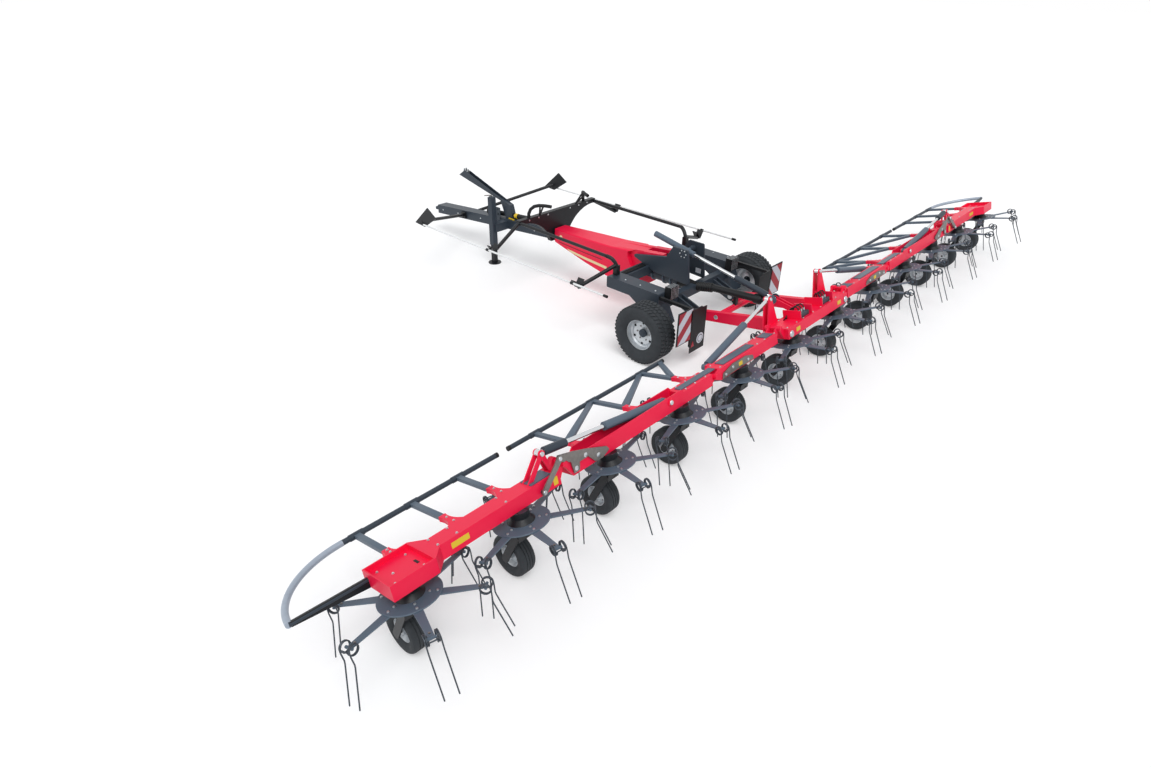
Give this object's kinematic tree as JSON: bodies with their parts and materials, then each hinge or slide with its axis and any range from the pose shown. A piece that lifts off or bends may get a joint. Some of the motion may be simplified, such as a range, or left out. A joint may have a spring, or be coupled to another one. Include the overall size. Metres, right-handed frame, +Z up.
{
  "type": "hay tedder",
  "caption": "Trailed rotary hay tedder in working position: a wide jointed boom of tined rotors on small wheels behind a two-wheeled chassis with a drawbar.",
  "frame": {"origin": "on the ground, under the middle of the box around the machine", "axes": "+X forward to the hitch, +Y to the left along the boom, +Z up"},
  "size_m": [8.6322, 13.8194, 1.325],
  "materials": {
    "red_paint": "satin crimson paint",
    "dark_paint": "satin anthracite paint",
    "black_paint": "satin black paint",
    "spring_steel": "dark oiled spring steel",
    "rod_steel": "polished piston rod",
    "tyre_rubber": "matt rubber",
    "rim_silver": "silver paint",
    "lamp_plastic": "matt plastic",
    "white_tube": "white paint"
  },
  "bodies": {
    "chassis": {"drawbar": "black_paint", "hood": "red_paint", "tower": "dark_paint", "rear_lights": "lamp_plastic", "cross_beam": "black_paint", "side_rods": "white_tube"},
    "jack": {"jack": "black_paint"},
    "main_wheel_left": {"main_tyre_left": "tyre_rubber", "main_rim_left": "rim_silver"},
    "main_wheel_right": {"main_tyre_right": "tyre_rubber", "main_rim_right": "rim_silver"},
    "lift_arms": {"lift_arms": "red_paint"},
    "top_barrel": {"top_link_barrel": "black_paint"},
    "top_rod": {"top_link_rod": "rod_steel"},
    "centre": {"centre_frame": "red_paint", "centre_fittings": "dark_paint"},
    "inner_left": {"wing_inner_left": "red_paint", "inner_fittings_left": "dark_paint"},
    "mid_left": {"wing_mid_left": "red_paint", "mid_fittings_left": "dark_paint"},
    "outer_left": {"wing_outer_left": "red_paint", "outer_fittings_left": "dark_paint"},
    "wing_barrel_left": {"wing_cylinder_left": "black_paint"},
    "wing_rod_left": {"wing_rod_left": "rod_steel"},
    "fold_barrel_left": {"fold_cylinder_left": "black_paint"},
    "fold_rod_left": {"fold_rod_left": "rod_steel"},
    "inner_right": {"wing_inner_right": "red_paint", "inner_fittings_right": "dark_paint"},
    "mid_right": {"wing_mid_right": "red_paint", "mid_fittings_right": "dark_paint"},
    "outer_right": {"wing_outer_right": "red_paint", "outer_fittings_right": "dark_paint"},
    "wing_barrel_right": {"wing_cylinder_right": "black_paint"},
    "wing_rod_right": {"wing_rod_right": "rod_steel"},
    "fold_barrel_right": {"fold_cylinder_right": "black_paint"},
    "fold_rod_right": {"fold_rod_right": "rod_steel"},
    "rotor_01": {"rotor_01": "dark_paint"},
    "rotor_wheel_01": {"rotor_wheel_01": "tyre_rubber"},
    "rotor_02": {"rotor_02": "dark_paint"},
    "rotor_wheel_02": {"rotor_wheel_02": "tyre_rubber"},
    "rotor_03": {"rotor_03": "dark_paint"},
    "rotor_wheel_03": {"rotor_wheel_03": "tyre_rubber"},
    "rotor_04": {"rotor_04": "dark_paint"},
    "rotor_wheel_04": {"rotor_wheel_04": "tyre_rubber"},
    "rotor_05": {"rotor_05": "dark_paint"},
    "rotor_wheel_05": {"rotor_wheel_05": "tyre_rubber"},
    "rotor_06": {"rotor_06": "dark_paint"},
    "rotor_wheel_06": {"rotor_wheel_06": "tyre_rubber"},
    "rotor_07": {"rotor_07": "dark_paint"},
    "rotor_wheel_07": {"rotor_wheel_07": "tyre_rubber"},
    "rotor_08": {"rotor_08": "dark_paint"},
    "rotor_wheel_08": {"rotor_wheel_08": "tyre_rubber"},
    "rotor_09": {"rotor_09": "dark_paint"},
    "rotor_wheel_09": {"rotor_wheel_09": "tyre_rubber"},
    "rotor_10": {"rotor_10": "dark_paint"},
    "rotor_wheel_10": {"rotor_wheel_10": "tyre_rubber"},
    "rotor_11": {"rotor_11": "dark_paint"},
    "rotor_wheel_11": {"rotor_wheel_11": "tyre_rubber"},
    "rotor_12": {"rotor_12": "dark_paint"},
    "rotor_wheel_12": {"rotor_wheel_12": "tyre_rubber"}
  },
  "joints": [
    {"name": "jack_slide", "type": "slide", "parent": "chassis", "child": "jack", "axis": [0, 0, 1], "range_m": [0, 0.3]},
    {"name": "main_wheel_left_spin", "type": "hinge", "parent": "chassis", "child": "main_wheel_left", "pos_m": [-1.81816, 1.237, 0.401], "axis": [0, 1, 0], "continuous": true},
    {"name": "main_wheel_right_spin", "type": "hinge", "parent": "chassis", "child": "main_wheel_right", "pos_m": [-1.81816, -1.237, 0.401], "axis": [0, 1, 0], "continuous": true},
    {"name": "boom_lift", "type": "hinge", "parent": "chassis", "child": "lift_arms", "pos_m": [-2.07416, 0, 0.48], "axis": [0, 1, 0], "range_deg": [0, 58]},
    {"name": "boom_tilt", "type": "hinge", "parent": "lift_arms", "child": "centre", "pos_m": [-3.17416, 0, 0.7], "axis": [0, 1, 0], "range_deg": [-8, 16.4]},
    {"name": "top_link_swing", "type": "hinge", "parent": "chassis", "child": "top_barrel", "pos_m": [-1.50916, 0, 1.114], "axis": [0, 1, 0], "range_deg": [0, 32.68]},
    {"name": "top_link_slide", "type": "slide", "parent": "top_barrel", "child": "top_rod", "axis": [0.982, 0, 0.1888], "range_m": [0, 0.6816]},
    {"name": "wing_fold_left", "type": "hinge", "parent": "centre", "child": "inner_left", "pos_m": [-3.40699, 0.83, 0.88236], "axis": [0.9632, 0, -0.2689], "range_deg": [-3, 90]},
    {"name": "contour_left", "type": "hinge", "parent": "inner_left", "child": "mid_left", "pos_m": [-3.432, 2.16, 0.79279], "axis": [-0.9632, 0, 0.2689], "range_deg": [-6, 6]},
    {"name": "outer_fold_left", "type": "hinge", "parent": "mid_left", "child": "outer_left", "pos_m": [-3.40699, 4.44, 0.88236], "axis": [-0.9632, 0, 0.2689], "range_deg": [-90, 4]},
    {"name": "wing_barrel_left_swing", "type": "hinge", "parent": "inner_left", "child": "wing_barrel_left", "pos_m": [-3.26154, 2, 0.77115], "axis": [0.9632, 0, -0.2689], "range_deg": [-3.2, 0.14]},
    {"name": "wing_rod_left_slide", "type": "slide", "parent": "wing_barrel_left", "child": "wing_rod_left", "axis": [-0.0661, 0.9693, -0.2368], "range_m": [-0.0174, 0.4942]},
    {"name": "fold_barrel_left_swing", "type": "hinge", "parent": "mid_left", "child": "fold_barrel_left", "pos_m": [-3.42124, 2.95, 0.83131], "axis": [-0.9632, 0, 0.2689], "range_deg": [-2.45, 0.16]},
    {"name": "fold_rod_left_slide", "type": "slide", "parent": "fold_barrel_left", "child": "fold_rod_left", "axis": [0.0356, 0.9912, 0.1275], "range_m": [-0.3455, 0.0163]},
    {"name": "wing_fold_right", "type": "hinge", "parent": "centre", "child": "inner_right", "pos_m": [-3.40699, -0.83, 0.88236], "axis": [-0.9632, 0, 0.2689], "range_deg": [-3, 90]},
    {"name": "contour_right", "type": "hinge", "parent": "inner_right", "child": "mid_right", "pos_m": [-3.432, -2.16, 0.79279], "axis": [0.9632, 0, -0.2689], "range_deg": [-6, 6]},
    {"name": "outer_fold_right", "type": "hinge", "parent": "mid_right", "child": "outer_right", "pos_m": [-3.40699, -4.44, 0.88236], "axis": [0.9632, 0, -0.2689], "range_deg": [-90, 4]},
    {"name": "wing_barrel_right_swing", "type": "hinge", "parent": "inner_right", "child": "wing_barrel_right", "pos_m": [-3.26154, -2, 0.77115], "axis": [-0.9632, 0, 0.2689], "range_deg": [-3.2, 0.14]},
    {"name": "wing_rod_right_slide", "type": "slide", "parent": "wing_barrel_right", "child": "wing_rod_right", "axis": [-0.0661, -0.9693, -0.2368], "range_m": [-0.0174, 0.4942]},
    {"name": "fold_barrel_right_swing", "type": "hinge", "parent": "mid_right", "child": "fold_barrel_right", "pos_m": [-3.42124, -2.95, 0.83131], "axis": [0.9632, 0, -0.2689], "range_deg": [-2.45, 0.16]},
    {"name": "fold_rod_right_slide", "type": "slide", "parent": "fold_barrel_right", "child": "fold_rod_right", "axis": [0.0356, -0.9912, 0.1275], "range_m": [-0.3455, 0.0163]},
    {"name": "rotor_01_spin", "type": "hinge", "parent": "outer_left", "child": "rotor_01", "pos_m": [-3.53416, 6.105, 0.65], "axis": [0.2689, 0, 0.9632], "continuous": true},
    {"name": "rotor_wheel_01_spin", "type": "hinge", "parent": "outer_left", "child": "rotor_wheel_01", "pos_m": [-3.42416, 6.105, 0.203], "axis": [0, 1, 0], "continuous": true},
    {"name": "rotor_02_spin", "type": "hinge", "parent": "outer_left", "child": "rotor_02", "pos_m": [-3.53416, 4.995, 0.65], "axis": [0.2689, 0, 0.9632], "continuous": true},
    {"name": "rotor_wheel_02_spin", "type": "hinge", "parent": "outer_left", "child": "rotor_wheel_02", "pos_m": [-3.42416, 4.995, 0.203], "axis": [0, 1, 0], "continuous": true},
    {"name": "rotor_03_spin", "type": "hinge", "parent": "mid_left", "child": "rotor_03", "pos_m": [-3.53416, 3.885, 0.65], "axis": [0.2689, 0, 0.9632], "continuous": true},
    {"name": "rotor_wheel_03_spin", "type": "hinge", "parent": "mid_left", "child": "rotor_wheel_03", "pos_m": [-3.42416, 3.885, 0.203], "axis": [0, 1, 0], "continuous": true},
    {"name": "rotor_04_spin", "type": "hinge", "parent": "mid_left", "child": "rotor_04", "pos_m": [-3.53416, 2.775, 0.65], "axis": [0.2689, 0, 0.9632], "continuous": true},
    {"name": "rotor_wheel_04_spin", "type": "hinge", "parent": "mid_left", "child": "rotor_wheel_04", "pos_m": [-3.42416, 2.775, 0.203], "axis": [0, 1, 0], "continuous": true},
    {"name": "rotor_05_spin", "type": "hinge", "parent": "inner_left", "child": "rotor_05", "pos_m": [-3.53416, 1.665, 0.65], "axis": [0.2689, 0, 0.9632], "continuous": true},
    {"name": "rotor_wheel_05_spin", "type": "hinge", "parent": "inner_left", "child": "rotor_wheel_05", "pos_m": [-3.42416, 1.665, 0.203], "axis": [0, 1, 0], "continuous": true},
    {"name": "rotor_06_spin", "type": "hinge", "parent": "centre", "child": "rotor_06", "pos_m": [-3.53416, 0.555, 0.65], "axis": [0.2689, 0, 0.9632], "continuous": true},
    {"name": "rotor_wheel_06_spin", "type": "hinge", "parent": "centre", "child": "rotor_wheel_06", "pos_m": [-3.42416, 0.555, 0.203], "axis": [0, 1, 0], "continuous": true},
    {"name": "rotor_07_spin", "type": "hinge", "parent": "centre", "child": "rotor_07", "pos_m": [-3.53416, -0.555, 0.65], "axis": [0.2689, 0, 0.9632], "continuous": true},
    {"name": "rotor_wheel_07_spin", "type": "hinge", "parent": "centre", "child": "rotor_wheel_07", "pos_m": [-3.42416, -0.555, 0.203], "axis": [0, 1, 0], "continuous": true},
    {"name": "rotor_08_spin", "type": "hinge", "parent": "inner_right", "child": "rotor_08", "pos_m": [-3.53416, -1.665, 0.65], "axis": [0.2689, 0, 0.9632], "continuous": true},
    {"name": "rotor_wheel_08_spin", "type": "hinge", "parent": "inner_right", "child": "rotor_wheel_08", "pos_m": [-3.42416, -1.665, 0.203], "axis": [0, 1, 0], "continuous": true},
    {"name": "rotor_09_spin", "type": "hinge", "parent": "mid_right", "child": "rotor_09", "pos_m": [-3.53416, -2.775, 0.65], "axis": [0.2689, 0, 0.9632], "continuous": true},
    {"name": "rotor_wheel_09_spin", "type": "hinge", "parent": "mid_right", "child": "rotor_wheel_09", "pos_m": [-3.42416, -2.775, 0.203], "axis": [0, 1, 0], "continuous": true},
    {"name": "rotor_10_spin", "type": "hinge", "parent": "mid_right", "child": "rotor_10", "pos_m": [-3.53416, -3.885, 0.65], "axis": [0.2689, 0, 0.9632], "continuous": true},
    {"name": "rotor_wheel_10_spin", "type": "hinge", "parent": "mid_right", "child": "rotor_wheel_10", "pos_m": [-3.42416, -3.885, 0.203], "axis": [0, 1, 0], "continuous": true},
    {"name": "rotor_11_spin", "type": "hinge", "parent": "outer_right", "child": "rotor_11", "pos_m": [-3.53416, -4.995, 0.65], "axis": [0.2689, 0, 0.9632], "continuous": true},
    {"name": "rotor_wheel_11_spin", "type": "hinge", "parent": "outer_right", "child": "rotor_wheel_11", "pos_m": [-3.42416, -4.995, 0.203], "axis": [0, 1, 0], "continuous": true},
    {"name": "rotor_12_spin", "type": "hinge", "parent": "outer_right", "child": "rotor_12", "pos_m": [-3.53416, -6.105, 0.65], "axis": [0.2689, 0, 0.9632], "continuous": true},
    {"name": "rotor_wheel_12_spin", "type": "hinge", "parent": "outer_right", "child": "rotor_wheel_12", "pos_m": [-3.42416, -6.105, 0.203], "axis": [0, 1, 0], "continuous": true}
  ],
  "couplings": [
    {"joint": "top_link_swing", "follows": "boom_lift", "ratio": 0.5634},
    {"joint": "top_link_slide", "follows": "boom_lift", "m_per_rad": 0.6723},
    {"joint": "wing_barrel_left_swing", "follows": "wing_fold_left", "ratio": -0.035},
    {"joint": "wing_rod_left_slide", "follows": "wing_fold_left", "m_per_rad": 0.314},
    {"joint": "fold_barrel_left_swing", "follows": "outer_fold_left", "ratio": 0.0267},
    {"joint": "fold_rod_left_slide", "follows": "outer_fold_left", "m_per_rad": 0.2193},
    {"joint": "wing_barrel_right_swing", "follows": "wing_fold_right", "ratio": -0.035},
    {"joint": "wing_rod_right_slide", "follows": "wing_fold_right", "m_per_rad": 0.314},
    {"joint": "fold_barrel_right_swing", "follows": "outer_fold_right", "ratio": 0.0267},
    {"joint": "fold_rod_right_slide", "follows": "outer_fold_right", "m_per_rad": 0.2193},
    {"joint": "rotor_02_spin", "follows": "rotor_01_spin", "ratio": -1},
    {"joint": "rotor_03_spin", "follows": "rotor_01_spin", "ratio": 1},
    {"joint": "rotor_04_spin", "follows": "rotor_01_spin", "ratio": -1},
    {"joint": "rotor_05_spin", "follows": "rotor_01_spin", "ratio": 1},
    {"joint": "rotor_06_spin", "follows": "rotor_01_spin", "ratio": -1},
    {"joint": "rotor_07_spin", "follows": "rotor_01_spin", "ratio": 1},
    {"joint": "rotor_08_spin", "follows": "rotor_01_spin", "ratio": -1},
    {"joint": "rotor_09_spin", "follows": "rotor_01_spin", "ratio": 1},
    {"joint": "rotor_10_spin", "follows": "rotor_01_spin", "ratio": -1},
    {"joint": "rotor_11_spin", "follows": "rotor_01_spin", "ratio": 1},
    {"joint": "rotor_12_spin", "follows": "rotor_01_spin", "ratio": -1}
  ]
}
